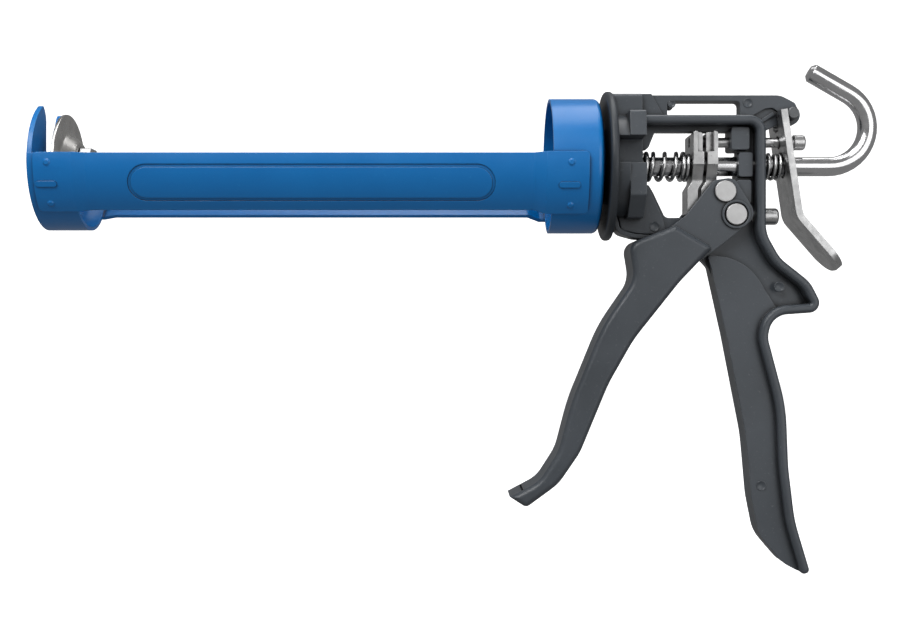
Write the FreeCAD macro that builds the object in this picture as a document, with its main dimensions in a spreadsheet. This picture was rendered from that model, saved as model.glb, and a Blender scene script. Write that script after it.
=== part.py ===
import FreeCAD, Part
import math
import os
import Sketcher

# Cartridge caulking gun, in millimetres.
# +X runs back along the rod from the nozzle end to the hook, +Z is up, -Y is the left-hand side.
# The origin is on the rod axis, in the plane of the cup's floor, where the cartridge stands.

V = FreeCAD.Vector
Rotation = FreeCAD.Rotation
Placement = FreeCAD.Placement

os.makedirs("parts", exist_ok=True)
doc = FreeCAD.newDocument("CaulkingGun")

# ---------------------------------------------------------------- driving dimensions

SIZES = {
    "rod_radius": 4.0,
    "running_gap": 0.05,
    "sheet": 1.5,
    "cup_radius": 28.0,
    "cup_depth": 19.0,
    "cup_recess": 1.9,
    "cap_radius": 26.7,
    "cap_face": 228.8,
    "cap_rim": 17.8,
    "slot_half_width": 8.5,
    "strap_radius": 27.1,
    "strap_turn": 52.0,
    "strap_top": 5.0,
    "nose_radius": 10.9,
    "ring_radius": 13.0,
    "disc_radius": 31.0,
    "disc_front": 3.7,
    "disc_back": 7.0,
    "hub_radius": 22.0,
    "hub_step": 12.6,
    "hub_back": 19.2,
    "web_width": 5.0,
    "bar_width": 7.0,
    "heel_width": 8.4,
    "lip_width": 10.8,
    "rim_width": 20.0,
    "rim_depth": 3.8,
    "plateau_width": 11.6,
    "boss_width": 12.4,
    "rear_wall": 70.2,
    "pin_radius": 4.4,
    "pin_length": 20.4,
    "pivot_across": 57.8,
    "pivot_down": 20.7,
    "drive_across": 53.3,
    "drive_down": 11.2,
    "ear_width": 17.6,
    "ear_inside": 12.8,
    "grip_width": 23.0,
    "grip_inside": 18.6,
    "plate_width": 18.4,
    "plate_foot_width": 11.4,
    "plate_thickness": 4.4,
    "tension_height": 10.1,
    "tension_radius": 2.1,
    "tension_front": 41.0,
    "tension_head": 83.8,
    "tension_head_radius": 3.2,
    "fulcrum_across": 81.4,
    "fulcrum_up": 21.2,
    "fulcrum_radius": 2.4,
    "fulcrum_length": 19.0,
    "stop_radius": 3.5,
    "stop_down": 20.9,
    "stop_end": 77.3,
    "lever_width": 22.0,
    "lever_thickness": 2.8,
    "hook_start": 98.5,
    "hook_radius": 16.4,
    "hook_turn": 150.0,
    "hook_arm": 17.5,
    "rod_chamfer": 1.4,
    "plunger_radius": 21.6,
    "plunger_face": 221.0,
    "plunger_back": 214.5,
    "spigot_radius": 3.0,
    "nut_radius": 8.4,
    "nut_length": 4.5,
    "end_play": 0.3,
    "screw_head_radius": 5.5,
    "screw_head_height": 2.2,
    "drive_spring_start": 19.3,
    "drive_spring_end": 40.0,
    "drive_spring_radius": 5.55,
    "drive_spring_wire": 0.9,
    "release_spring_start": 70.6,
    "release_spring_end": 78.4,
    "release_spring_radius": 5.1,
    "release_spring_wire": 0.75,
}

sheet = doc.addObject("Spreadsheet::Sheet", "sizes")
for row, (alias, value) in enumerate(SIZES.items(), start=1):
    sheet.set("A%d" % row, alias)
    sheet.set("B%d" % row, str(value))
    sheet.setAlias("B%d" % row, alias)
doc.recompute()


def size(alias):
    """A driving dimension's value, for the points of an outline."""
    return float(sheet.get(alias))


def bind(item, **expressions):
    """Ties properties of an object to the sheet. A double underscore stands for a dot in the property's name."""
    for name, expression in expressions.items():
        item.setExpression(name.replace("__", "."), expression)
    return item


# ---------------------------------------------------------------- outlines

def rounded(points):
    """The edges of a closed outline through (x, y, corner radius) points, its corners tangent arcs."""
    count = len(points)
    corners = []
    for index, (x, y, radius) in enumerate(points):
        here = V(x, y, 0)
        before = V(points[index - 1][0], points[index - 1][1], 0) - here
        after = V(points[(index + 1) % count][0], points[(index + 1) % count][1], 0) - here
        before.normalize()
        after.normalize()
        if radius == 0:
            corners.append((here, None, here))
            continue
        half = before.getAngle(after) / 2
        run = radius / math.tan(half)
        bisector = (before + after).normalize()
        centre = here + bisector * (radius / math.sin(half))
        corners.append((here + before * run, centre - bisector * radius, here + after * run))
    edges = []
    for index, (start, middle, end) in enumerate(corners):
        if middle is not None:
            edges.append(Part.Arc(start, middle, end))
        following = corners[(index + 1) % count][0]
        if end.distanceToPoint(following) > 1e-4:
            edges.append(Part.LineSegment(end, following))
    return edges


def shifted(path, distance):
    """An open path of (x, y, corner radius) points, moved to its right by distance and kept parallel."""
    points = [V(x, y, 0) for x, y, _ in path]
    directions = [(end - start).normalize() for start, end in zip(points, points[1:])]
    normals = [V(direction.y, -direction.x, 0) for direction in directions]
    moved = [points[0] + normals[0] * distance]
    for index in range(1, len(points) - 1):
        before = normals[index - 1]
        after = normals[index]
        moved.append(points[index] + (before + after) * (distance / (1 + before.dot(after))))
    moved.append(points[-1] + normals[-1] * distance)
    result = [(moved[0].x, moved[0].y, 0)]
    for index in range(1, len(points) - 1):
        right_turn = directions[index - 1].cross(directions[index]).z < 0
        radius = path[index][2] + (-distance if right_turn else distance)
        result.append((moved[index].x, moved[index].y, max(radius, 0.3)))
    result.append((moved[-1].x, moved[-1].y, path[-1][2]))
    return result


def band(path, depth):
    """The closed outline of a strip that lies to the right of a path."""
    return list(path) + shifted(path, depth)[::-1]


# ---------------------------------------------------------------- feature helpers

def new_body(label):
    body = doc.addObject("PartDesign::Body", label)
    body.Label = label
    return body


def sketch_on(body, name, role, offset=0.0):
    """An empty sketch on one of the body's own origin planes, moved along the plane's normal."""
    sketch = body.newObject("Sketcher::SketchObject", name)
    plane = [feature for feature in body.Origin.OriginFeatures if feature.Role == role][0]
    sketch.AttachmentSupport = [(plane, "")]
    sketch.MapMode = "FlatFace"
    sketch.AttachmentOffset = Placement(V(0, 0, offset), Rotation())
    return sketch


def draw(sketch, points):
    sketch.addGeometry(rounded(points), False)
    return sketch


def draw_circle(sketch, across, up, radius):
    """A circle whose centre and radius are expressions on the sheet."""
    index = sketch.addGeometry(Part.Circle(V(1, 1, 0), V(0, 0, 1), 1.0), False)
    for kind, expression in (("DistanceX", across), ("DistanceY", up)):
        if expression == "0":
            lock = "PointOnObject"
            axis = -2 if kind == "DistanceX" else -1
            sketch.addConstraint(Sketcher.Constraint(lock, index, 3, axis))
            continue
        number = sketch.addConstraint(Sketcher.Constraint(kind, -1, 1, index, 3, 1.0))
        sketch.setExpression("Constraints[%d]" % number, expression)
    number = sketch.addConstraint(Sketcher.Constraint("Radius", index, 1.0))
    sketch.setExpression("Constraints[%d]" % number, radius)
    return sketch


def pad(body, sketch, length, symmetric=True):
    feature = body.newObject("PartDesign::Pad", sketch.Name + "_pad")
    feature.Profile = sketch
    feature.SideType = "Symmetric" if symmetric else "One side"
    feature.setExpression("Length", length)
    sketch.Visibility = False
    return feature


def pocket(body, sketch, length, symmetric=True, reverse=False):
    """A pocket that must take material away."""
    doc.recompute()
    before = body.Shape.Volume
    feature = body.newObject("PartDesign::Pocket", sketch.Name + "_pocket")
    feature.Profile = sketch
    feature.SideType = "Symmetric" if symmetric else "One side"
    feature.Reversed = reverse
    feature.setExpression("Length", length)
    sketch.Visibility = False
    doc.recompute()
    if body.Shape.Volume > before - 0.01:
        raise RuntimeError("%s cuts nothing" % feature.Name)
    return feature


def revolve(body, sketch, angle="360"):
    """A revolution of a half section about the sketch's horizontal axis."""
    feature = body.newObject("PartDesign::Revolution", sketch.Name + "_turn")
    feature.Profile = sketch
    feature.ReferenceAxis = (sketch, ["H_Axis"])
    feature.setExpression("Angle", angle)
    sketch.Visibility = False
    return feature


def soften(body, name, radius, chosen):
    """A fillet of the edges of the body so far that the chosen test accepts."""
    doc.recompute()
    tip = body.Tip
    edges = ["Edge%d" % index for index, edge in enumerate(tip.Shape.Edges, start=1) if chosen(edge)]
    feature = body.newObject("PartDesign::Fillet", name)
    feature.Base = (tip, edges)
    feature.Radius = radius
    doc.recompute()
    return feature


def lies_at(edge, side):
    """True for an edge that lies in one of the two planes at that distance from the middle plane."""
    box = edge.BoundBox
    return box.YLength < 0.01 and abs(abs(box.YMin) - side) < 0.01


ALONG_X = Rotation(V(0, 1, 0), 90)
ALONG_Y = Rotation(V(1, 0, 0), -90)


def cylinder(name, radius, length, across="0", up="0", start="0", turn=ALONG_X):
    """A cylinder along X, or along Y, whose start, centre and size are expressions on the sheet."""
    item = doc.addObject("Part::Cylinder", name)
    item.Placement = Placement(V(0, 0, 0), turn)
    bind(item, Radius=radius, Height=length, Placement__Base__z=up)
    if turn is ALONG_X:
        bind(item, Placement__Base__x=start, Placement__Base__y=across)
    else:
        bind(item, Placement__Base__x=across, Placement__Base__y=start)
    return item


def fused(label, pieces):
    item = doc.addObject("Part::MultiFuse", label)
    item.Label = label
    item.Shapes = pieces
    item.Refine = True
    return item


def cut(label, base, tool):
    item = doc.addObject("Part::Cut", label)
    item.Label = label
    item.Base = base
    item.Tool = tool
    return item


def common(name, pieces):
    item = doc.addObject("Part::MultiCommon", name)
    item.Shapes = pieces
    return item


def eased(label, base, radius, chosen):
    """A fillet of the edges that the chosen test accepts."""
    doc.recompute()
    item = doc.addObject("Part::Fillet", label)
    item.Label = label
    item.Base = base
    item.Edges = [(index, radius, radius) for index, edge in enumerate(base.Shape.Edges, start=1) if chosen(edge)]
    return item


# ---------------------------------------------------------------- the frame casting

# The back rim, from the hub along the lower bar, down the rear wall, round the thumb saddle and down the handle.
RIM_PATH = [
    (16.0, 20.4, 0),
    (size("rear_wall"), 20.4, 7.0),
    (size("rear_wall"), -28.5, 14.0),
    (76.0, -38.8, 14.0),
    (88.4, -48.6, 14.0),
    (94.6, -60.9, 4.2),
    (73.0, -62.4, 8.0),
    (70.9, -71.5, 9.0),
    (78.4, -100.0, 70.0),
    (79.4, -125.0, 80.0),
    (82.0, -147.0, 60.0),
    (88.4, -168.4, 1.7),
]
# The handle's front edge, from its lower tip to the crotch behind the trigger.
HANDLE_FRONT = [
    (84.2, -168.4, 0.8),
    (78.0, -165.2, 12.0),
    (68.0, -153.5, 16.0),
    (64.9, -138.0, 40.0),
    (62.6, -112.0, 80.0),
    (54.6, -71.0, 120.0),
    (48.4, -43.0, 12.0),
]
HANDLE_TOP = 6
WINDOW = [
    (25.4, 14.3, 1.0),
    (59.6, 14.3, 1.5),
    (59.6, -21.6, 1.5),
    (29.6, -21.6, 2.5),
    (24.6, -11.0, 3.0),
    (22.8, -8.0, 1.0),
    (18.4, -7.2, 0),
    (18.4, 7.0, 0),
    (22.4, 7.0, 2.0),
]
TOP_SLOT = [
    (30.4, 27.0, 1.2),
    (60.8, 27.0, 1.8),
    (60.8, 20.6, 0.3),
    (30.4, 20.6, 0.3),
]
# The flat-sided block round the rear of the hub, seen along the rod.
HUB_BLOCK = [
    (-18.8, 20.9, 1.6),
    (18.8, 20.9, 1.6),
    (20.6, 9.0, 1.0),
    (20.6, -13.9, 1.0),
    (12.2, -22.3, 1.0),
    (-12.2, -22.3, 1.0),
    (-20.6, -13.9, 1.0),
    (-20.6, 9.0, 1.0),
]


def make_frame():
    body = new_body("frame")

    # The web: a flat plate in the middle plane, from the hub to the handle's tip.
    web = sketch_on(body, "web", "XZ_Plane")
    outer = shifted(RIM_PATH, 1.2)
    outer[0] = (12.0, 19.2, 0)
    outer[-1] = (86.4, -166.6, 0)
    lower = [(41.0, -35.5, 10.0), (26.0, -30.2, 20.0), (16.0, -29.6, 6.0), (9.5, -28.2, 3.0), (7.6, -22.0, 0)]
    draw(web, outer + HANDLE_FRONT + lower + [(7.6, 19.2, 0)])
    draw(web, WINDOW)
    pad(body, web, "sizes.web_width")

    # The top bar and the lug that carries the lever's fulcrum pin; both are thinner in a pocket before the lug.
    lug = [(77.6, 29.4, 8.0), (83.6, 26.2, 2.5), (86.0, 21.0, 3.0), (83.2, 17.0, 3.0)]
    thin = sketch_on(body, "top_bar_floor", "XZ_Plane")
    draw(thin, [(7.6, 17.5, 0), (7.6, 28.4, 0), (76.6, 28.4, 8.0), (82.4, 25.6, 2.5), (84.8, 21.0, 2.4),
                (83.0, 18.0, 2.0), (76.0, 17.0, 3.0), (68.0, 13.0, 1.0), (66.0, 17.5, 0.5)])
    draw(thin, TOP_SLOT)
    pad(body, thin, "sizes.web_width")
    thick = sketch_on(body, "top_bar", "XZ_Plane")
    draw(thick, [(7.6, 17.5, 0), (7.6, 29.4, 0)] + lug + [
        (77.3, 16.6, 0.5),
        (76.6, 22.6, 1.2),
        (74.2, 24.2, 1.2),
        (71.2, 23.8, 0.8),
        (66.4, 21.2, 0.4),
        (64.0, 17.5, 0),
    ])
    draw(thick, TOP_SLOT)
    pad(body, thick, "sizes.bar_width")
    rib = sketch_on(body, "pocket_rib", "XZ_Plane")
    draw(rib, [(69.0, 19.0, 0), (74.4, 22.5, 0.4), (75.3, 21.2, 0.4), (70.0, 18.0, 0)])
    pad(body, rib, "sizes.bar_width - 0.4")

    # A thicker field over the handle, bounded above by the curve that clears the trigger's ears.
    plateau = sketch_on(body, "plateau", "XZ_Plane")
    inner = shifted(RIM_PATH, 1.9)[HANDLE_TOP:]
    inner[-1] = (85.8, -166.6, 0)
    draw(plateau, [(75.6, -60.0, 0.5)] + inner + HANDLE_FRONT + [(46.6, -37.2, 1.0), (63.0, -39.4, 22.0)])
    pad(body, plateau, "sizes.plateau_width")

    # The wide rim along the back.
    rim = sketch_on(body, "rim", "XZ_Plane")
    draw(rim, band(RIM_PATH, size("rim_depth")))
    pad(body, rim, "sizes.rim_width")
    soften(body, "rim_round", 1.6, lambda edge: lies_at(edge, size("rim_width") / 2))

    # Thicker fields of the web beside the hub, above and below the window, and the lip under the lower one.
    shoulder = sketch_on(body, "shoulder", "XZ_Plane")
    draw(shoulder, [(12.0, 18.0, 0), (12.0, 29.8, 0), (23.6, 29.8, 0.5), (28.6, 20.6, 0), (28.6, 18.0, 0)])
    pad(body, shoulder, "sizes.bar_width + 2.4")
    heel = sketch_on(body, "heel", "XZ_Plane")
    draw(heel, [(12.0, -9.0, 0), (22.4, -9.0, 1.0), (24.0, -12.0, 1.0), (28.3, -21.9, 0.6), (30.0, -28.8, 1.0),
                (17.4, -28.2, 4.0), (11.2, -26.8, 1.0), (9.6, -20.0, 0)])
    pad(body, heel, "sizes.heel_width")
    lip = sketch_on(body, "lip", "XZ_Plane")
    draw(lip, band([(8.8, -19.0, 0), (10.4, -26.8, 3.0), (17.0, -28.6, 8.0), (25.6, -29.2, 0)], 1.7))
    pad(body, lip, "sizes.lip_width")

    # Round bosses of the web: the trigger's pivot and the lever's fulcrum.
    pivot_boss = sketch_on(body, "pivot_boss", "XZ_Plane")
    draw_circle(pivot_boss, "sizes.pivot_across", "-sizes.pivot_down", "sizes.pin_radius + 1.3")
    pad(body, pivot_boss, "sizes.web_width")
    fulcrum_boss = sketch_on(body, "fulcrum_boss", "XZ_Plane")
    draw_circle(fulcrum_boss, "sizes.fulcrum_across", "sizes.fulcrum_up", "sizes.fulcrum_radius + 1.9")
    pad(body, fulcrum_boss, "sizes.bar_width")

    # Blocks inside the rear wall: two guide the rods, the third stiffens the pivot.
    for name, low, high, front, back in (("guide_high", 6.4, 15.8, 56.6, 64.0), ("guide_mid", -4.8, 5.2, 59.6, 65.4),
                                         ("guide_low", -16.0, -6.2, 58.8, 64.8)):
        block = sketch_on(body, name, "XZ_Plane")
        draw(block, [(front, low, 1.0), (front, high, 1.0), (back, high, 1.0), (back, low, 1.0)])
        pad(body, block, "sizes.boss_width")

    # The hub behind the disc, its flange and the nose that the cradle turns on.
    hub = sketch_on(body, "hub", "YZ_Plane", size("disc_back"))
    draw_circle(hub, "0", "0", "sizes.hub_radius")
    pad(body, hub, "sizes.hub_step - sizes.disc_back", symmetric=False)
    hub_rear = sketch_on(body, "hub_rear", "YZ_Plane", size("hub_step"))
    draw(hub_rear, HUB_BLOCK)
    pad(body, hub_rear, "sizes.hub_back - sizes.hub_step", symmetric=False)
    nose = sketch_on(body, "nose", "YZ_Plane", 0.4)
    draw_circle(nose, "0", "0", "sizes.nose_radius")
    pad(body, nose, "sizes.disc_back - 0.4", symmetric=False)
    groove = sketch_on(body, "nose_groove", "XZ_Plane")
    draw(groove, [(0.7, 10.0, 0), (1.6, 10.0, 0), (1.6, 12.0, 0), (0.7, 12.0, 0)])
    doc.recompute()
    ring_groove = body.newObject("PartDesign::Groove", "ring_groove")
    ring_groove.Profile = groove
    ring_groove.ReferenceAxis = (groove, ["H_Axis"])
    ring_groove.Angle = 360

    # The block on top of the hub, and the open pockets in its sides.
    crown = sketch_on(body, "crown", "YZ_Plane", size("disc_back"))
    draw(crown, [(-9.0, 15.0, 0), (-9.0, 29.4, 2.0), (9.0, 29.4, 2.0), (9.0, 15.0, 0)])
    pad(body, crown, "sizes.hub_back - sizes.disc_back", symmetric=False)
    sides = sketch_on(body, "side_pockets", "YZ_Plane", 7.8)
    for side in (-1, 1):
        draw(sides, [(side * 9.6, -0.8, 1.0), (side * 9.6, 10.4, 1.0), (side * 30.0, 10.4, 0), (side * 30.0, -0.8, 0)])
    pocket(body, sides, "sizes.hub_back", symmetric=False, reverse=True)

    # Bores.
    bore = sketch_on(body, "rod_bore", "YZ_Plane")
    draw_circle(bore, "0", "0", "sizes.rod_radius + sizes.running_gap")
    pocket(body, bore, "sizes.rear_wall * 3")
    small = sketch_on(body, "tension_bore", "YZ_Plane", 55.0)
    draw_circle(small, "0", "sizes.tension_height", "sizes.tension_radius + sizes.running_gap")
    pocket(body, small, "30", symmetric=False, reverse=True)
    stop = sketch_on(body, "stop_bore", "YZ_Plane", 65.8)
    draw_circle(stop, "0", "-sizes.stop_down", "sizes.stop_radius")
    pocket(body, stop, "20", symmetric=False, reverse=True)
    cross = sketch_on(body, "cross_bores", "XZ_Plane")
    draw_circle(cross, "sizes.pivot_across", "-sizes.pivot_down", "sizes.pin_radius")
    draw_circle(cross, "sizes.fulcrum_across", "sizes.fulcrum_up", "sizes.fulcrum_radius")
    pocket(body, cross, "sizes.rim_width + 10")
    return body


# ---------------------------------------------------------------- what is fixed to the frame

def make_disc():
    """The thrust disc behind the cup, with a full round edge."""
    body = new_body("swivel_disc")
    section = sketch_on(body, "disc_section", "XZ_Plane")
    front = size("disc_front")
    back = size("disc_back")
    radius = size("disc_radius")
    draw(section, [
        (front, size("nose_radius"), 0),
        (front, radius, 1.3),
        (back, radius, 1.3),
        (back, size("nose_radius"), 0),
    ])
    revolve(body, section)
    return body


def make_retaining_ring():
    """An open ring in the nose's groove, which holds the cup on the nose."""
    body = new_body("retaining_ring")
    section = sketch_on(body, "ring_outline", "YZ_Plane", 0.7)
    draw_circle(section, "0", "0", "sizes.ring_radius")
    draw_circle(section, "0", "0", "10")
    pad(body, section, "0.9", symmetric=False)
    gap = sketch_on(body, "ring_gap", "YZ_Plane")
    draw(gap, [(-2.0, -9.0, 0), (2.0, -9.0, 0), (2.0, -14.0, 0), (-2.0, -14.0, 0)])
    pocket(body, gap, "10")
    return body


def make_pin(label, radius, across, up, length):
    """A straight cross pin with chamfered ends."""
    bevel = 0.25
    middle = cylinder(label + "_shank", radius, "%s - %g" % (length, 2 * bevel), across, up,
                      "%g - %s / 2" % (bevel, length), ALONG_Y)
    ends = []
    for side, turn in ((-1, Rotation(V(1, 0, 0), 90)), (1, ALONG_Y)):
        end = doc.addObject("Part::Cone", label + "_end")
        end.Placement = Placement(V(0, 0, 0), turn)
        bind(end, Radius1=radius, Radius2="%s - %g" % (radius, bevel), Height=str(bevel),
             Placement__Base__x=across, Placement__Base__z=up,
             Placement__Base__y="%d * (%s / 2 - %g)" % (side, length, bevel))
        ends.append(end)
    return fused(label, [middle] + ends)


def make_stop_pin():
    """The pin in the rear wall that the release lever comes up against, its end rounded."""
    shank = cylinder("stop_shank", "sizes.stop_radius", "sizes.stop_end - 65.8", "0", "-sizes.stop_down", "65.8")
    return eased("lever_stop_pin", shank, 1.2,
                 lambda edge: edge.BoundBox.XLength < 0.01 and edge.BoundBox.XMin > 70)


def make_spring(label, start, end, radius, wire, closed, opened):
    """A round-wire compression spring on the rod, of tilted half turns that meet at its top and its bottom.

    The given number of half turns lie nearly closed at each end, and the open ones share what is left.
    """
    coil = size(radius)
    thickness = 2 * size(wire)
    length = size(end) - size(start) - thickness
    closed_rise = 0.54 * thickness
    open_rise = (length - 2 * closed * closed_rise) / opened
    rises = [closed_rise] * closed + [open_rise] * opened + [closed_rise] * closed
    halves = []
    along = size(start) + size(wire)
    side = 1
    for rise in rises:
        half = doc.addObject("Part::Torus", label + "_half")
        bind(half, Radius1="sqrt(sizes.%s ^ 2 + %g)" % (radius, (rise / 2) ** 2), Radius2="sizes." + wire,
             Angle3="180")
        outward = V(-rise / 2, 0, coil * side).normalize()
        forward = V(0, side, 0)
        turn = Rotation(outward, forward, outward.cross(forward), "ZXY")
        half.Placement = Placement(V(along + rise / 2, 0, 0), turn)
        halves.append(half)
        along += rise
        side = -side
    return fused(label, halves)


# ---------------------------------------------------------------- the cradle

def make_cup():
    """The rear cup: a drawn sheet cup whose floor is set back in the middle round the nose."""
    body = new_body("rear_cup")
    section = sketch_on(body, "cup_section", "XZ_Plane")
    radius = size("cup_radius")
    inner = radius - size("sheet")
    depth = size("cup_depth")
    recess = size("cup_recess")
    wall = size("sheet")
    bore = size("nose_radius") + size("running_gap")
    draw(section, [
        (-depth, inner, 0),
        (-depth, radius, 0),
        (wall, radius, 2.5),
        (wall, 15.5 + wall, 0.6),
        (recess + wall, 15.5, 0.6),
        (recess + wall, bore, 0),
        (recess, bore, 0),
        (recess, 14.6, 0.4),
        (0.0, 15.8, 0.6),
        (0.0, inner, 1.0),
    ])
    revolve(body, section)
    return body


def make_cap():
    """The front cap: a disc with an open nozzle slot and a rim round its lower half."""
    body = new_body("front_cap")
    radius = size("cap_radius")
    face = -size("cap_face")
    half = size("slot_half_width")
    plate = sketch_on(body, "cap_plate", "YZ_Plane", face)
    tip_up = 23.4
    tip_side = 12.1
    sketch_edges = [
        Part.Arc(V(tip_side, tip_up, 0), V(0, -radius, 0), V(-tip_side, tip_up, 0)),
        Part.Arc(V(-tip_side, tip_up, 0), V(-half - 0.9, 20.6, 0), V(-half, 16.0, 0)),
        Part.LineSegment(V(-half, 16.0, 0), V(-half, 0, 0)),
        Part.Arc(V(-half, 0, 0), V(0, -half, 0), V(half, 0, 0)),
        Part.LineSegment(V(half, 0, 0), V(half, 16.0, 0)),
        Part.Arc(V(half, 16.0, 0), V(half + 0.9, 20.6, 0), V(tip_side, tip_up, 0)),
    ]
    plate.addGeometry(sketch_edges, False)
    pad(body, plate, "2", symmetric=False)
    rim = sketch_on(body, "cap_rim", "YZ_Plane", face)
    start = 2.4
    for circle in (radius, radius - size("sheet")):
        side = math.sqrt(circle * circle - start * start)
        rim.addGeometry(Part.Arc(V(-side, start, 0), V(0, -circle, 0), V(side, start, 0)), False)
        if circle == radius:
            outer_side = side
    for sign in (-1, 1):
        rim.addGeometry(Part.LineSegment(V(sign * outer_side, start, 0), V(sign * side, start, 0)), False)
    pad(body, rim, "sizes.cap_rim", symmetric=False)
    return body


def strap_blank():
    """The strap's lengthwise section, turned about the rod's axis through the strap's width."""
    body = new_body("strap_blank")
    wall = size("sheet")
    middle = size("strap_radius")
    front = size("cap_radius") + wall
    back = size("cup_radius") + wall
    profile = [
        (-225.9, front, 0),
        (-210.4, front, 1.0),
        (-205.4, middle, 2.0),
        (-26.6, middle, 2.0),
        (-21.6, back, 1.0),
        (-4.8, back, 0),
    ]
    section = sketch_on(body, "strap_section", "XY_Plane")
    section.AttachmentOffset = Placement(V(0, 0, 0), Rotation(V(1, 0, 0), 180 - size("strap_top")))
    draw(section, band(profile, wall))
    revolve(body, section, "sizes.strap_turn")
    return body


def radial(distance, angle, along):
    """A place and a turn whose local Z points away from the rod's axis, on the left side, below the level."""
    turn = math.radians(angle)
    direction = V(0, -math.cos(turn), -math.sin(turn))
    across = V(0, math.sin(turn), -math.cos(turn))
    return Placement(V(along, 0, 0) + direction * distance, Rotation(V(1, 0, 0), across, direction, "ZXY"))


def strap_marks(name, along, outside, middle_angle):
    """A pressed bar with a round dimple on each side of it, raised from a strap's end."""
    marks = []
    for offset in (-17.5, 17.5):
        dot = doc.addObject("Part::Cone", name + "_dot")
        bind(dot, Radius1="1.9", Radius2="0.9", Height="0.9")
        dot.Placement = radial(outside - 0.4, middle_angle + offset, along + 0.6)
        marks.append(dot)
    bar = doc.addObject("Part::Box", name + "_bar")
    bind(bar, Length="8.5", Width="2.4", Height="1.0")
    place = radial(outside - 0.5, middle_angle, along)
    bar.Placement = place.multiply(Placement(V(-4.25, -1.2, 0), Rotation()))
    marks.append(eased(name + "_bar_round", bar, 1.1, lambda edge: abs(edge.Length - 1.0) < 0.01))
    return marks


def make_straps():
    """Both straps: the left one, with its oval panel and end marks, and its mirror image."""
    middle_angle = size("strap_turn") / 2 - size("strap_top")
    outside = size("strap_radius")
    wall = size("sheet")
    pieces = [strap_blank()]
    pieces += strap_marks("front_marks", -221.0, size("cap_radius") + wall, middle_angle)
    pieces += strap_marks("back_marks", -12.6, size("cup_radius") + wall, middle_angle)
    marked = fused("strap_marked", pieces)

    # The panel's border: the ring between two ovals, pressed a little into the strap.
    shells = [cylinder("panel_outside", str(outside + 1), "190", start="-214"),
              cylinder("panel_inside", str(outside - 0.4), "192", start="-215")]
    shell = cut("panel_shell", shells[0], shells[1])
    ring = new_body("panel_ring")
    sketch = sketch_on(ring, "panel_ovals", "XY_Plane")
    for inset in (0.0, 1.3):
        half = 7.6 - inset
        draw(sketch, [(-189.0 + inset, -half, half * 0.98), (-42.0 - inset, -half, half * 0.98),
                      (-42.0 - inset, half, half * 0.98), (-189.0 + inset, half, half * 0.98)])
    pad(ring, sketch, "40", symmetric=False)
    ring.Placement = radial(15.0, middle_angle, 0.0)
    pressed = common("panel_pressed", [shell, ring])
    plain = cut("strap_plain", marked, pressed)
    left = eased("strap_left", plain, 1.8,
                 lambda edge: abs(edge.Length - wall) < 0.02 and edge.BoundBox.XLength < 0.01
                 and (edge.BoundBox.XMin < -225 or edge.BoundBox.XMin > -5))
    right = doc.addObject("Part::Mirroring", "strap_right")
    right.Label = "strap_right"
    right.Source = left
    right.Base = V(0, 0, 0)
    right.Normal = V(0, 1, 0)
    return [left, right]


# ---------------------------------------------------------------- the trigger

# The trigger's outlines: the grip's, down the finger side and up the rear, and the ears', which overlap the grip.
FINGER_SIDE = [
    (13.4, -32.7, 5.0),
    (15.8, -47.4, 12.0),
    (2.6, -66.6, 70.0),
    (-10.2, -98.0, 90.0),
    (-15.6, -118.5, 22.0),
    (-23.5, -130.8, 14.0),
    (-35.6, -137.2, 0),
]
REAR_SIDE = [
    (-28.8, -141.6, 2.5),
    (-15.5, -131.9, 20.0),
    (-6.6, -119.0, 30.0),
    (5.0, -90.8, 60.0),
    (15.6, -72.2, 60.0),
    (34.4, -48.6, 60.0),
]
EARS = [
    (51.0, -33.8, 30.0),
    (66.8, -21.4, 5.6),
    (57.0, -5.4, 4.4),
    (48.6, -6.6, 3.2),
    (37.0, -21.4, 8.0),
    (31.0, -25.8, 3.0),
    (25.0, -31.5, 0),
    (39.6, -42.6, 0),
]


def make_trigger():
    """A channel open to the rear, stepped in at the top to two ears either side of the web."""
    body = new_body("trigger")
    top = sketch_on(body, "trigger_ears", "XZ_Plane")
    draw(top, EARS)
    pad(body, top, "sizes.ear_width")
    grip = sketch_on(body, "trigger_grip", "XZ_Plane")
    draw(grip, FINGER_SIDE + REAR_SIDE + [(48.0, -34.4, 1.0), (32.6, -25.4, 1.0)])
    pad(body, grip, "sizes.grip_width")

    # The finger side is well rounded.
    def on_finger_side(edge):
        middle = edge.CenterOfMass
        return lies_at(edge, size("grip_width") / 2) and middle.z > -134 and middle.x < 25 + (middle.z + 40) / 2
    soften(body, "finger_round", 2.4, on_finger_side)

    # The channel: its front wall runs down the finger side and round the tip, and it is open to the rear.
    wall = 3.0
    front = shifted(FINGER_SIDE, -wall)
    front[0] = (17.6, -36.0, 0)
    front[-1] = (-31.0, -134.4, 0)
    channel = sketch_on(body, "channel", "XZ_Plane")
    behind = [(-24.0, -143.0, 0), (10.0, -120.0, 0), (50.0, -56.0, 0)]
    draw(channel, front + behind + [(45.6, -40.6, 0), (31.0, -30.0, 0), (24.0, -33.6, 0)])
    pocket(body, channel, "sizes.grip_inside")
    ears = sketch_on(body, "between_ears", "XZ_Plane")
    draw(ears, [(17.0, -36.0, 0), (60.0, -60.0, 0), (85.0, -25.0, 0), (60.0, 5.0, 0), (17.0, -10.0, 0)])
    pocket(body, ears, "sizes.ear_inside")
    holes = sketch_on(body, "ear_holes", "XZ_Plane")
    draw_circle(holes, "sizes.pivot_across", "-sizes.pivot_down", "sizes.pin_radius + sizes.running_gap")
    pocket(body, holes, "sizes.grip_width * 2")
    drive = sketch_on(body, "drive_holes", "XZ_Plane")
    draw_circle(drive, "sizes.drive_across", "-sizes.drive_down", "sizes.pin_radius")
    pocket(body, drive, "sizes.grip_width * 2")
    return body


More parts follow.
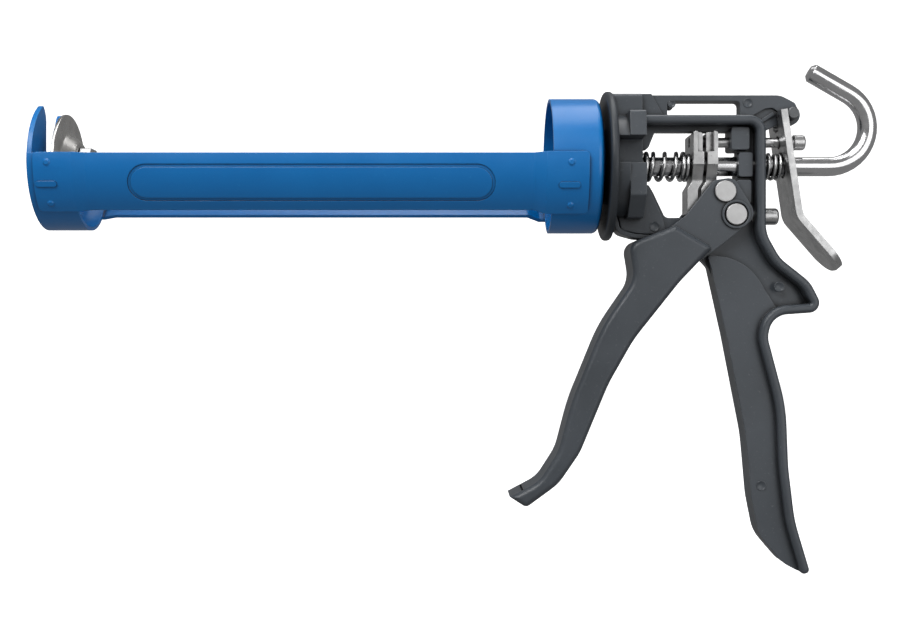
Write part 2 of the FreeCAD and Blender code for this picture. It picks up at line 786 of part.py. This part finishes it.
def make_pivot_bush(label, side):
    """A collar on the ear, round the end of the pivot pin."""
    collar = cylinder(label + "_collar", "5.9", "1.0", "sizes.pivot_across", "-sizes.pivot_down",
                      "sizes.ear_width / 2" if side > 0 else "-sizes.ear_width / 2 - 1", ALONG_Y)
    hole = cylinder(label + "_hole", "sizes.pin_radius + 0.6", "2.0", "sizes.pivot_across", "-sizes.pivot_down",
                    "sizes.ear_width / 2 - 0.5" if side > 0 else "-sizes.ear_width / 2 - 1.5", ALONG_Y)
    return cut(label, collar, hole)


# ---------------------------------------------------------------- the drive

def make_plate(label, start, bend, notch):
    """A drive plate, bent forward below the rod: wide round the rods, narrow between the trigger's ears.

    A part of its thickness is notched away on both sides near the top, from the given depth on.
    """
    body = new_body(label)
    thick = size("plate_thickness")
    top = 13.7
    foot = -20.3
    shape = sketch_on(body, label + "_side", "XZ_Plane")
    draw(shape, [
        (start, top, 1.2),
        (start + thick, top, 1.2),
        (start + thick, -6.9, 2.0),
        (start + thick - bend, -10.0, 2.0),
        (start + thick - bend, foot, 0.6),
        (start - bend, foot, 0.6),
        (start - bend, -10.0, 2.0),
        (start, -6.9, 2.0),
    ])
    pad(body, shape, "sizes.plate_width")
    flanks = sketch_on(body, label + "_flanks", "YZ_Plane", 30.0)
    wide = size("plate_width") / 2
    narrow = size("plate_foot_width") / 2
    for side in (-1, 1):
        draw(flanks, [(side * narrow, -24.0, 0), (side * narrow, -6.2, 3.0), (side * wide, 0.6, 3.0),
                      (side * (wide + 4), 0.6, 0), (side * (wide + 4), -24.0, 0)])
    pocket(body, flanks, "40", symmetric=False, reverse=True)
    notches = sketch_on(body, label + "_notches", "YZ_Plane", start + notch)
    for side in (-1, 1):
        draw(notches, [(side * 6.2, top + 2, 0), (side * 6.2, 5.2, 0.6), (side * (wide + 2), 5.2, 0),
                       (side * (wide + 2), top + 2, 0)])
    pocket(body, notches, "sizes.plate_thickness * 0.6", symmetric=False, reverse=True)
    bores = sketch_on(body, label + "_bores", "YZ_Plane", 30.0)
    draw_circle(bores, "0", "0", "sizes.rod_radius + sizes.running_gap")
    draw_circle(bores, "0", "sizes.tension_height", "sizes.tension_radius + sizes.running_gap")
    pocket(body, bores, "40", symmetric=False, reverse=True)
    return body


def make_tension_rod():
    """The small upper rod, its head behind the release lever."""
    shank = cylinder("tension_shank", "sizes.tension_radius", "sizes.tension_head - sizes.tension_front",
                     "0", "sizes.tension_height", "sizes.tension_front")
    head = cylinder("tension_knob", "sizes.tension_head_radius", "4.8", "0", "sizes.tension_height",
                    "sizes.tension_head")
    round_head = eased("tension_knob_round", head, 1.2,
                       lambda edge: edge.BoundBox.XLength < 0.01 and edge.BoundBox.XMin > 87)
    return fused("tension_rod", [shank, round_head])


# ---------------------------------------------------------------- the push rod and its plunger

def make_push_rod():
    """A round rod, its rear end bent into a hook, its front end turned down to a spigot for the plunger."""
    radius = size("rod_radius")
    face = "sizes.plunger_back - sizes.end_play"
    shank = cylinder("rod_shank", "sizes.rod_radius", "sizes.hook_start + " + face, start="-(%s)" % face)
    spigot_end = "sizes.plunger_back + sizes.sheet + sizes.end_play"
    spigot = cylinder("rod_spigot", "sizes.spigot_radius", "sizes.sheet + 2 * sizes.end_play",
                      start="-(%s)" % spigot_end)
    bend = doc.addObject("Part::Torus", "rod_bend")
    bend.Placement = Placement(V(0, 0, 0), Rotation(V(0, 0, -1), V(1, 0, 0), V(0, -1, 0), "ZXY"))
    bind(bend, Radius1="sizes.hook_radius", Radius2="sizes.rod_radius", Angle3="sizes.hook_turn",
         Placement__Base__x="sizes.hook_start", Placement__Base__z="sizes.hook_radius")
    turn = math.radians(size("hook_turn"))
    start = V(size("hook_start") + size("hook_radius") * math.sin(turn), 0,
              size("hook_radius") * (1 - math.cos(turn)))
    along = V(math.cos(turn), 0, math.sin(turn))
    arm = doc.addObject("Part::Cylinder", "rod_arm")
    bind(arm, Radius="sizes.rod_radius", Height="sizes.hook_arm")
    arm.Placement = Placement(start, Rotation(V(0, 0, 1), along))
    bevel = doc.addObject("Part::Cone", "rod_end")
    bind(bevel, Radius1="sizes.rod_radius", Radius2="sizes.rod_radius - sizes.rod_chamfer",
         Height="sizes.rod_chamfer")
    bevel.Placement = Placement(start + along * size("hook_arm"), Rotation(V(0, 0, 1), along))
    return fused("push_rod", [spigot, shank, bend, arm, bevel])


def make_plunger_disc():
    """A pressed steel disc, dished to the rear towards the rod."""
    body = new_body("plunger_disc")
    section = sketch_on(body, "plunger_section", "XZ_Plane")
    face = -size("plunger_face")
    back = -size("plunger_back")
    wall = size("sheet")
    bore = size("spigot_radius") + size("running_gap")
    draw(section, [
        (face, size("plunger_radius"), 0.5),
        (face + wall, size("plunger_radius"), 0.5),
        (face + wall, 14.6, 2.0),
        (back, 9.6, 1.6),
        (back, bore, 0),
        (back - wall, bore, 0),
        (back - wall, 9.0, 1.0),
        (face, 14.0, 2.0),
    ])
    revolve(body, section)
    return body


def make_plunger_nut():
    """The hexagon nut behind the disc."""
    body = new_body("plunger_nut")
    outline = sketch_on(body, "nut_outline", "YZ_Plane", -(size("plunger_back") - size("end_play")))
    radius = size("nut_radius")
    corners = []
    for step in range(6):
        turn = math.radians(60 * step)
        corners.append((radius * math.cos(turn), radius * math.sin(turn), 0.5))
    draw(outline, corners)
    draw_circle(outline, "0", "0", "sizes.rod_radius")
    pad(body, outline, "sizes.nut_length", symmetric=False)
    return body


def make_plunger_screw():
    """The low round head in front of the disc."""
    start = "sizes.plunger_back + sizes.sheet + sizes.end_play + sizes.screw_head_height"
    head = cylinder("screw_head", "sizes.screw_head_radius", "sizes.screw_head_height", start="-(%s)" % start)
    return eased("plunger_screw", head, 0.8,
                 lambda edge: edge.BoundBox.XLength < 0.01 and edge.BoundBox.XMin < -218)


# ---------------------------------------------------------------- the release lever

def make_lever():
    """A bent steel strip that straddles the lug at its top and ends in a rounded thumb tail."""
    body = new_body("lever_strip")
    path = [(75.7, 22.2, 0), (82.2, -22.0, 9.0), (101.0, -43.6, 0)]
    side = sketch_on(body, "lever_side", "XZ_Plane")
    draw(side, band(path, -size("lever_thickness")))
    pad(body, side, "sizes.lever_width")
    windows = sketch_on(body, "lever_windows", "YZ_Plane", 60.0)
    draw(windows, [(-4.0, 14.3, 2.0), (4.0, 14.3, 2.0), (4.0, 26.0, 0), (-4.0, 26.0, 0)])
    draw(windows, [(-2.5, 7.4, 2.4), (2.5, 7.4, 2.4), (2.5, 12.8, 2.4), (-2.5, 12.8, 2.4)])
    draw(windows, [(-4.3, -4.9, 4.2), (4.3, -4.9, 4.2), (4.3, 5.4, 4.2), (-4.3, 5.4, 4.2)])
    pocket(body, windows, "40", symmetric=False, reverse=True)
    return eased("release_lever", body, 9.0,
                 lambda edge: edge.BoundBox.YLength < 0.01 and edge.BoundBox.ZMax < -38
                 and abs(edge.Length - size("lever_thickness")) < 0.05)


# ---------------------------------------------------------------- build, check and write

nodes = [
    make_cup(),
    make_cap(),
    make_frame(),
    make_disc(),
    make_retaining_ring(),
    make_stop_pin(),
    make_pin("pivot_pin", "sizes.pin_radius", "sizes.pivot_across", "-sizes.pivot_down", "sizes.pin_length"),
    make_pin("drive_pin", "sizes.pin_radius", "sizes.drive_across", "-sizes.drive_down", "sizes.pin_length"),
    make_pin("fulcrum_pin", "sizes.fulcrum_radius", "sizes.fulcrum_across", "sizes.fulcrum_up",
             "sizes.fulcrum_length"),
    make_trigger(),
    make_pivot_bush("pivot_bush_left", -1),
    make_pivot_bush("pivot_bush_right", 1),
    make_plate("front_grip_plate", 40.2, 1.9, 0.4 * size("plate_thickness")),
    make_plate("rear_drive_plate", 46.0, 1.9, 0.0),
    make_tension_rod(),
    make_spring("drive_spring", "drive_spring_start", "drive_spring_end", "drive_spring_radius",
                "drive_spring_wire", 3, 5),
    make_push_rod(),
    make_plunger_disc(),
    make_plunger_nut(),
    make_plunger_screw(),
    make_lever(),
    make_spring("release_spring", "release_spring_start", "release_spring_end", "release_spring_radius",
                "release_spring_wire", 1, 3),
]
nodes += make_straps()
doc.recompute()

for item in doc.Objects:
    if "Invalid" in item.State or "Error" in item.State:
        raise RuntimeError("%s failed: %s" % (item.Name, item.State))
for node in nodes:
    shape = node.Shape
    if shape.isNull() or not shape.isValid() or len(shape.Solids) != 1:
        raise RuntimeError("%s is not one valid solid" % node.Label)
    shape.exportStep("parts/%s.step" % node.Label)
    box = shape.BoundBox
    print("%-18s %9.0f mm3  X %.1f..%.1f  Y %.1f..%.1f  Z %.1f..%.1f" % (
        node.Label, shape.Volume, box.XMin, box.XMax, box.YMin, box.YMax, box.ZMin, box.ZMax))
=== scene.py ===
import math

import bpy
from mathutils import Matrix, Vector


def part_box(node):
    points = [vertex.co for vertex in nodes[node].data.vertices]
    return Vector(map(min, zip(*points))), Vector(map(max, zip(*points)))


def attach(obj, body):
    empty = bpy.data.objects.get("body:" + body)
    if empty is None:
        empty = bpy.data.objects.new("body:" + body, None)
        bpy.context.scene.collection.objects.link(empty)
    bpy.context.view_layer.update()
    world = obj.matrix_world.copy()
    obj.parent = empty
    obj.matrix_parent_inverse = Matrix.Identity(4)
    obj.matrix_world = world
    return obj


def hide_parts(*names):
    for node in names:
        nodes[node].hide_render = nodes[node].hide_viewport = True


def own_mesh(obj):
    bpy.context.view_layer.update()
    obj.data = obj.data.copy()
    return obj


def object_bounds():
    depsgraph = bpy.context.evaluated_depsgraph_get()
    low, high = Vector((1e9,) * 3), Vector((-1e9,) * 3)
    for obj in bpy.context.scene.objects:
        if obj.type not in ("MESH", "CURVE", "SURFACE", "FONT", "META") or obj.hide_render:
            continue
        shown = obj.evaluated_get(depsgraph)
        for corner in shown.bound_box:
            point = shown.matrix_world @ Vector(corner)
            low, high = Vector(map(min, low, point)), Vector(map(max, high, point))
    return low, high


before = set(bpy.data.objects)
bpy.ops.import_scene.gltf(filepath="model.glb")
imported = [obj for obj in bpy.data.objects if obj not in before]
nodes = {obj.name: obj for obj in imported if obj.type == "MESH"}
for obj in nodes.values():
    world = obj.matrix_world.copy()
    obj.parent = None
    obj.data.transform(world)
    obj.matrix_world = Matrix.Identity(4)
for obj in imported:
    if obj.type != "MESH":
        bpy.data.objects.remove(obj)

cad_low, cad_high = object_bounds()

# ---------------------------------------------------------------- materials
# Each material is built from the same few node helpers. Noise scales are per metre, and lengths are in metres.


def new_material(name):
    """A new node material; returns (material, node tree, shader)."""
    material = bpy.data.materials.new(name)
    material.use_nodes = True
    tree = material.node_tree
    return material, tree, tree.nodes["Principled BSDF"]


def coordinates(tree, stretch=(1.0, 1.0, 1.0)):
    """Object coordinates, stretched so that a pattern can run along one axis."""
    source = tree.nodes.new("ShaderNodeTexCoord")
    mapping = tree.nodes.new("ShaderNodeMapping")
    mapping.inputs["Scale"].default_value = stretch
    tree.links.new(source.outputs["Object"], mapping.inputs["Vector"])
    return mapping.outputs["Vector"]


def noise(tree, vector, scale, detail=4.0, roughness=0.55):
    node = tree.nodes.new("ShaderNodeTexNoise")
    node.inputs["Scale"].default_value = scale
    node.inputs["Detail"].default_value = detail
    node.inputs["Roughness"].default_value = roughness
    tree.links.new(vector, node.inputs["Vector"])
    return node.outputs["Fac"]


def ramp(tree, value, stops):
    """A colour ramp through (position, colour) stops; a plain number stands for a grey."""
    node = tree.nodes.new("ShaderNodeValToRGB")
    elements = node.color_ramp.elements
    while len(elements) < len(stops):
        elements.new(0.5)
    for element, (position, colour) in zip(elements, stops):
        element.position = position
        element.color = (colour,) * 3 + (1.0,) if isinstance(colour, (int, float)) else (*colour, 1.0)
    tree.links.new(value, node.inputs["Fac"])
    return node.outputs["Color"]


def mix(tree, factor, first, second):
    """Mixes two colours; the factor is a number or a socket."""
    node = tree.nodes.new("ShaderNodeMix")
    node.data_type = "RGBA"
    for socket, value in ((node.inputs[0], factor), (node.inputs[6], first), (node.inputs[7], second)):
        if isinstance(value, bpy.types.NodeSocket):
            tree.links.new(value, socket)
        elif isinstance(value, tuple):
            socket.default_value = (*value, 1.0)
        else:
            socket.default_value = value
    return node.outputs[2]


def calculate(tree, operation, first, second):
    node = tree.nodes.new("ShaderNodeMath")
    node.operation = operation
    for socket, value in zip(node.inputs, (first, second)):
        if isinstance(value, bpy.types.NodeSocket):
            tree.links.new(value, socket)
        else:
            socket.default_value = value
    return node.outputs[0]


def edge_mask(tree, radius, low=0.02, high=0.16):
    """Grey that is bright along sharp edges: where a rounded normal departs from the true one."""
    bevel = tree.nodes.new("ShaderNodeBevel")
    bevel.samples = 6
    bevel.inputs["Radius"].default_value = radius
    geometry = tree.nodes.new("ShaderNodeNewGeometry")
    dot = tree.nodes.new("ShaderNodeVectorMath")
    dot.operation = "DOT_PRODUCT"
    tree.links.new(bevel.outputs["Normal"], dot.inputs[0])
    tree.links.new(geometry.outputs["Normal"], dot.inputs[1])
    departure = calculate(tree, "SUBTRACT", 1.0, dot.outputs["Value"])
    return ramp(tree, departure, [(low, 0.0), (high, 1.0)]), bevel.outputs["Normal"]


def bump(tree, height, strength, distance, normal=None):
    node = tree.nodes.new("ShaderNodeBump")
    node.inputs["Strength"].default_value = strength
    node.inputs["Distance"].default_value = distance
    tree.links.new(height, node.inputs["Height"])
    if normal is not None:
        tree.links.new(normal, node.inputs["Normal"])
    return node.outputs["Normal"]


def painted_crevice_shade(tree, reach, colour, dark):
    """The colour, darkened in inside corners as painted shade."""
    node = tree.nodes.new("ShaderNodeAmbientOcclusion")
    node.samples = 8
    node.inputs["Distance"].default_value = reach
    open_part = ramp(tree, node.outputs["AO"], [(0.45, 0.0), (0.86, 1.0)])
    return mix(tree, open_part, dark, colour)


def paint(name, shade, dark, light, roughness, grain_scale, grain_depth, edge_wear_and_highlight, round_edge, coat=0.0):
    """Paint on metal: a mottled colour, a fine grain, softened edges, edges lightened partly as wear and partly as
    a painted highlight, and painted shade in inside corners.
    """
    material, tree, shader = new_material(name)
    where = coordinates(tree)
    broad = noise(tree, where, 28.0, 3.0)
    fine = noise(tree, where, 900.0, 5.0, 0.6)
    colour = mix(tree, ramp(tree, broad, [(0.35, 0.0), (0.7, 1.0)]), dark, shade)
    colour = mix(tree, ramp(tree, fine, [(0.62, 0.0), (0.8, 0.35)]), colour, light)
    edges, rounded = edge_mask(tree, round_edge)
    patches = ramp(tree, noise(tree, where, 240.0), [(0.38, 0.15), (0.68, 1.0)])
    broken = calculate(tree, "MULTIPLY", edges, patches)
    # Edges lightened: partly wear on the paint, partly a painted highlight along them.
    colour = mix(tree, calculate(tree, "MULTIPLY", broken, edge_wear_and_highlight), colour, light)
    # Painted shade: the colour darkens in inside corners.
    colour = painted_crevice_shade(tree, 0.004, colour, tuple(channel * 0.16 for channel in dark))
    tree.links.new(colour, shader.inputs["Base Color"])
    smudges = ramp(tree, noise(tree, where, 55.0, 5.0), [(0.3, roughness - 0.05), (0.7, roughness + 0.07)])
    tree.links.new(smudges, shader.inputs["Roughness"])
    grain = noise(tree, where, grain_scale, 3.0)
    tree.links.new(bump(tree, grain, 0.35, grain_depth, rounded), shader.inputs["Normal"])
    shader.inputs["Coat Weight"].default_value = coat
    shader.inputs["Coat Roughness"].default_value = 0.18
    return material


def steel(name, shade, dark, roughness, along=(1.0, 1.0, 1.0), scratch=0.5, round_edge=0.0004, blotch=0.5):
    """Bare or plated steel: drawn or rolled lines and cloudy plating."""
    material, tree, shader = new_material(name)
    where = coordinates(tree, along)
    plain = coordinates(tree)
    clouds = noise(tree, plain, 140.0, 5.0, 0.65)
    lines = noise(tree, where, 420.0, 4.0, 0.6)
    colour = mix(tree, ramp(tree, clouds, [(0.3, blotch), (0.62, 0.0)]), shade, dark)
    edges, rounded = edge_mask(tree, round_edge)
    colour = mix(tree, calculate(tree, "MULTIPLY", edges, 0.45), colour, (0.92, 0.92, 0.93))
    # Painted shade: the colour darkens in inside corners.
    colour = painted_crevice_shade(tree, 0.002, colour, tuple(channel * 0.3 for channel in dark))
    tree.links.new(colour, shader.inputs["Base Color"])
    polish = ramp(tree, lines, [(0.3, roughness - 0.06), (0.7, roughness + 0.12)])
    tree.links.new(polish, shader.inputs["Roughness"])
    tree.links.new(bump(tree, lines, scratch, 0.00003, rounded), shader.inputs["Normal"])
    shader.inputs["Metallic"].default_value = 1.0
    return material


BLUE = paint("blue_powder_coat", (0.0, 0.190, 0.560), (0.0, 0.172, 0.520), (0.03, 0.34, 0.74),
             roughness=0.34, grain_scale=1400.0, grain_depth=0.00003, edge_wear_and_highlight=0.35, round_edge=0.0005, coat=0.20)
BLACK = paint("black_cast_paint", (0.076, 0.087, 0.101), (0.060, 0.069, 0.080), (0.26, 0.28, 0.30),
              roughness=0.36, grain_scale=1600.0, grain_depth=0.00005, edge_wear_and_highlight=0.55, round_edge=0.0006)
DISC = paint("black_disc_paint", (0.036, 0.043, 0.052), (0.028, 0.034, 0.041), (0.15, 0.16, 0.17),
             roughness=0.42, grain_scale=1500.0, grain_depth=0.00004, edge_wear_and_highlight=0.4, round_edge=0.0006)
ZINC = steel("zinc_plated_steel", (0.66, 0.66, 0.66), (0.38, 0.385, 0.39), roughness=0.30, blotch=0.75)
PRESSED = steel("pressed_steel", (0.70, 0.69, 0.67), (0.42, 0.41, 0.40), roughness=0.24,
                along=(1.0, 0.2, 0.2))
PIN = steel("pin_end_steel", (0.62, 0.62, 0.62), (0.5, 0.5, 0.5), roughness=0.46, blotch=0.4)
CHROME = steel("chromed_rod", (0.78, 0.78, 0.79), (0.60, 0.60, 0.61), roughness=0.13,
               along=(0.08, 1.0, 1.0), scratch=0.25, blotch=0.3)
# A near-black steel for the fulcrum pin.
DARK_PIN = steel("dark_pin_steel", (0.14, 0.145, 0.15), (0.07, 0.073, 0.08), roughness=0.36, blotch=0.5)
WIRE = steel("spring_wire", (0.70, 0.70, 0.70), (0.42, 0.42, 0.43), roughness=0.22,
             along=(1.0, 0.3, 0.3))

FINISHES = {
    BLUE: ("rear_cup", "front_cap", "strap_left", "strap_right"),
    BLACK: ("frame", "trigger", "pivot_bush_left", "pivot_bush_right"),
    DISC: ("swivel_disc",),
    ZINC: ("front_grip_plate", "rear_drive_plate", "release_lever", "retaining_ring", "lever_stop_pin",
           "tension_rod", "plunger_nut", "plunger_screw"),
    PRESSED: ("plunger_disc",),
    PIN: ("pivot_pin", "drive_pin"),
    DARK_PIN: ("fulcrum_pin",),
    CHROME: ("push_rod",),
    WIRE: ("drive_spring", "release_spring"),
}
for material, names in FINISHES.items():
    for name in names:
        nodes[name].data.materials.clear()
        nodes[name].data.materials.append(material)

# ---------------------------------------------------------------- springs


def wire_spring(name, node, wire, closed_turns, open_turns, material):
    """A coil spring with closed ends in the place of a CAD spring."""
    low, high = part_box(node)
    radius = (high.z - low.z) / 2 - wire
    middle = (low.z + high.z) / 2
    start, end = low.x + wire, high.x - wire
    closed_pitch = 2.08 * wire
    open_pitch = (end - start - 2 * closed_turns * closed_pitch) / open_turns
    steps = 28
    points = []
    along = start
    total = int((2 * closed_turns + open_turns) * steps)
    for index in range(total + 1):
        turns = index / steps
        angle = 2 * math.pi * turns
        points.append((along, radius * math.sin(angle), middle + radius * math.cos(angle)))
        closed = turns < closed_turns or turns > closed_turns + open_turns
        along += (closed_pitch if closed else open_pitch) / steps
    curve = bpy.data.curves.new(name, "CURVE")
    curve.dimensions = "3D"
    curve.bevel_depth = wire
    curve.bevel_resolution = 4
    curve.use_fill_caps = True
    spline = curve.splines.new("POLY")
    spline.points.add(len(points) - 1)
    for point, place in zip(spline.points, points):
        point.co = (*place, 1.0)
    holder = bpy.data.objects.new(name + "_curve", curve)
    mesh = bpy.data.meshes.new_from_object(holder)
    bpy.data.objects.remove(holder)
    mesh.materials.clear()
    mesh.materials.append(material)
    for face in mesh.polygons:
        face.use_smooth = True
    piece = bpy.data.objects.new(name, mesh)
    bpy.context.scene.collection.objects.link(piece)
    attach(piece, "body_frame")
    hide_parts(node)
    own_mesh(piece)


# The wire's radii of the two springs.
DRIVE_WIRE = 0.0009
RELEASE_WIRE = 0.00075
wire_spring("drive_spring_coil", "drive_spring", DRIVE_WIRE, closed_turns=1.6, open_turns=2.7, material=WIRE)
wire_spring("release_spring_coil", "release_spring", RELEASE_WIRE, closed_turns=0.75, open_turns=1.5, material=WIRE)

# ---------------------------------------------------------------- ejector-pin marks of the castings


def ejector_mark(name, across, up, level, radius):
    """A round mark standing a little proud of both faces of a casting, with a raised border."""
    inside, crest = 0.0001, 0.0003
    profile = [(0.0, inside), (radius - 0.00045, inside), (radius - 0.0003, crest),
               (radius - 0.00015, crest), (radius, -0.0002)]
    segments = 40
    for side, suffix in ((-1, "left"), (1, "right")):
        vertices = [(across, side * (level + profile[0][1]), up)]
        for reach, height in profile[1:]:
            for step in range(segments):
                angle = 2 * math.pi * step / segments
                vertices.append((across + reach * math.cos(angle), side * (level + height),
                                 up + reach * math.sin(angle)))
        faces = []
        for step in range(segments):
            following = (step + 1) % segments
            faces.append((0, 1 + step, 1 + following))
            for ring in range(len(profile) - 2):
                inner = 1 + ring * segments
                outer = inner + segments
                faces.append((inner + step, outer + step, outer + following, inner + following))
        if side > 0:
            faces = [face[::-1] for face in faces]
        mesh = bpy.data.meshes.new(name + "_" + suffix)
        mesh.from_pydata(vertices, [], faces)
        mesh.materials.append(BLACK)
        for face in mesh.polygons:
            face.use_smooth = True
        piece = bpy.data.objects.new(name + "_" + suffix, mesh)
        bpy.context.scene.collection.objects.link(piece)
        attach(piece, "body_frame")


# Half the casting's thickness at the bar, the heel and the handle.
BAR_HALF, HEEL_HALF, HANDLE_HALF = 0.0035, 0.0042, 0.0058
for name, across, up, level, radius in (
        ("mark_bar_front", 0.0322, 0.0258, BAR_HALF, 0.0017),
        ("mark_bar_back", 0.0640, 0.0262, BAR_HALF, 0.0021),
        ("mark_heel", 0.0250, -0.0254, HEEL_HALF, 0.0022),
        ("mark_saddle", 0.0765, -0.0505, HANDLE_HALF, 0.0022),
        ("mark_handle", 0.0690, -0.1330, HANDLE_HALF, 0.0022)):
    ejector_mark(name, across, up, level, radius)

# ---------------------------------------------------------------- studio


def stage_plane(name, size, place, turn, colour, glow):
    """A glowing plane that only the camera sees, so that it doesn't light or mirror in the object."""
    mesh = bpy.data.meshes.new(name)
    half_width, half_height = size[0] / 2, size[1] / 2
    mesh.from_pydata([(-half_width, -half_height, 0), (half_width, -half_height, 0),
                      (half_width, half_height, 0), (-half_width, half_height, 0)], [], [(0, 1, 2, 3)])
    plane = bpy.data.objects.new(name, mesh)
    bpy.context.scene.collection.objects.link(plane)
    plane.location = place
    plane.rotation_euler = turn
    material, tree, shader = new_material(name + "_finish")
    shader.inputs["Base Color"].default_value = (*colour, 1.0)
    shader.inputs["Roughness"].default_value = 0.8
    shader.inputs["Emission Color"].default_value = (1.0, 1.0, 1.0, 1.0)
    shader.inputs["Emission Strength"].default_value = glow
    mesh.materials.append(material)
    plane.visible_glossy = False
    plane.visible_diffuse = False


def area_light(name, place, target, size, power):
    light = bpy.data.lights.new(name, "AREA")
    light.shape = "RECTANGLE"
    light.size, light.size_y = size
    light.energy = power
    lamp = bpy.data.objects.new(name, light)
    bpy.context.scene.collection.objects.link(lamp)
    lamp.location = place
    direction = Vector(target) - Vector(place)
    lamp.rotation_euler = direction.to_track_quat("-Z", "Y").to_euler()


centre = (cad_low + cad_high) / 2
FLOOR_GAP = 0.004
floor_height = cad_low.z - FLOOR_GAP
stage_plane("floor", (6.0, 6.0), (0, 0, floor_height), (0, 0, 0), (0.93, 0.93, 0.93), glow=0.9)
stage_plane("backdrop", (6.0, 4.0), (0, 1.6, 1.5), (math.pi / 2, 0, 0), (0.95, 0.95, 0.95), glow=1.0)

world = bpy.data.worlds.new("studio")
world.use_nodes = True
world.node_tree.nodes["Background"].inputs["Color"].default_value = (1.0, 1.0, 1.0, 1.0)
world.node_tree.nodes["Background"].inputs["Strength"].default_value = 0.22
bpy.context.scene.world = world
bpy.context.scene.view_settings.view_transform = "Standard"

area_light("key", (-0.5, -0.9, 0.75), centre, size=(0.9, 0.6), power=9.0)
area_light("fill", (0.6, -0.8, 0.1), centre, size=(0.8, 0.8), power=3.0)
area_light("top", (0.0, -0.05, 0.9), centre, size=(1.2, 0.5), power=5.0)

# ---------------------------------------------------------------- camera

# The camera looks along +Y, from the place that lines the render up with the photograph.
VIEW_ACROSS, VIEW_DISTANCE, VIEW_HEIGHT = -0.0602, 0.509, -0.0643
camera_data = bpy.data.cameras.new("camera")
camera_data.sensor_width = 36.0
camera_data.lens = 48.5
camera = bpy.data.objects.new("camera", camera_data)
bpy.context.scene.collection.objects.link(camera)
camera.location = (VIEW_ACROSS, -VIEW_DISTANCE, VIEW_HEIGHT)
camera.rotation_euler = (math.pi / 2, 0, 0)
bpy.context.scene.camera = camera
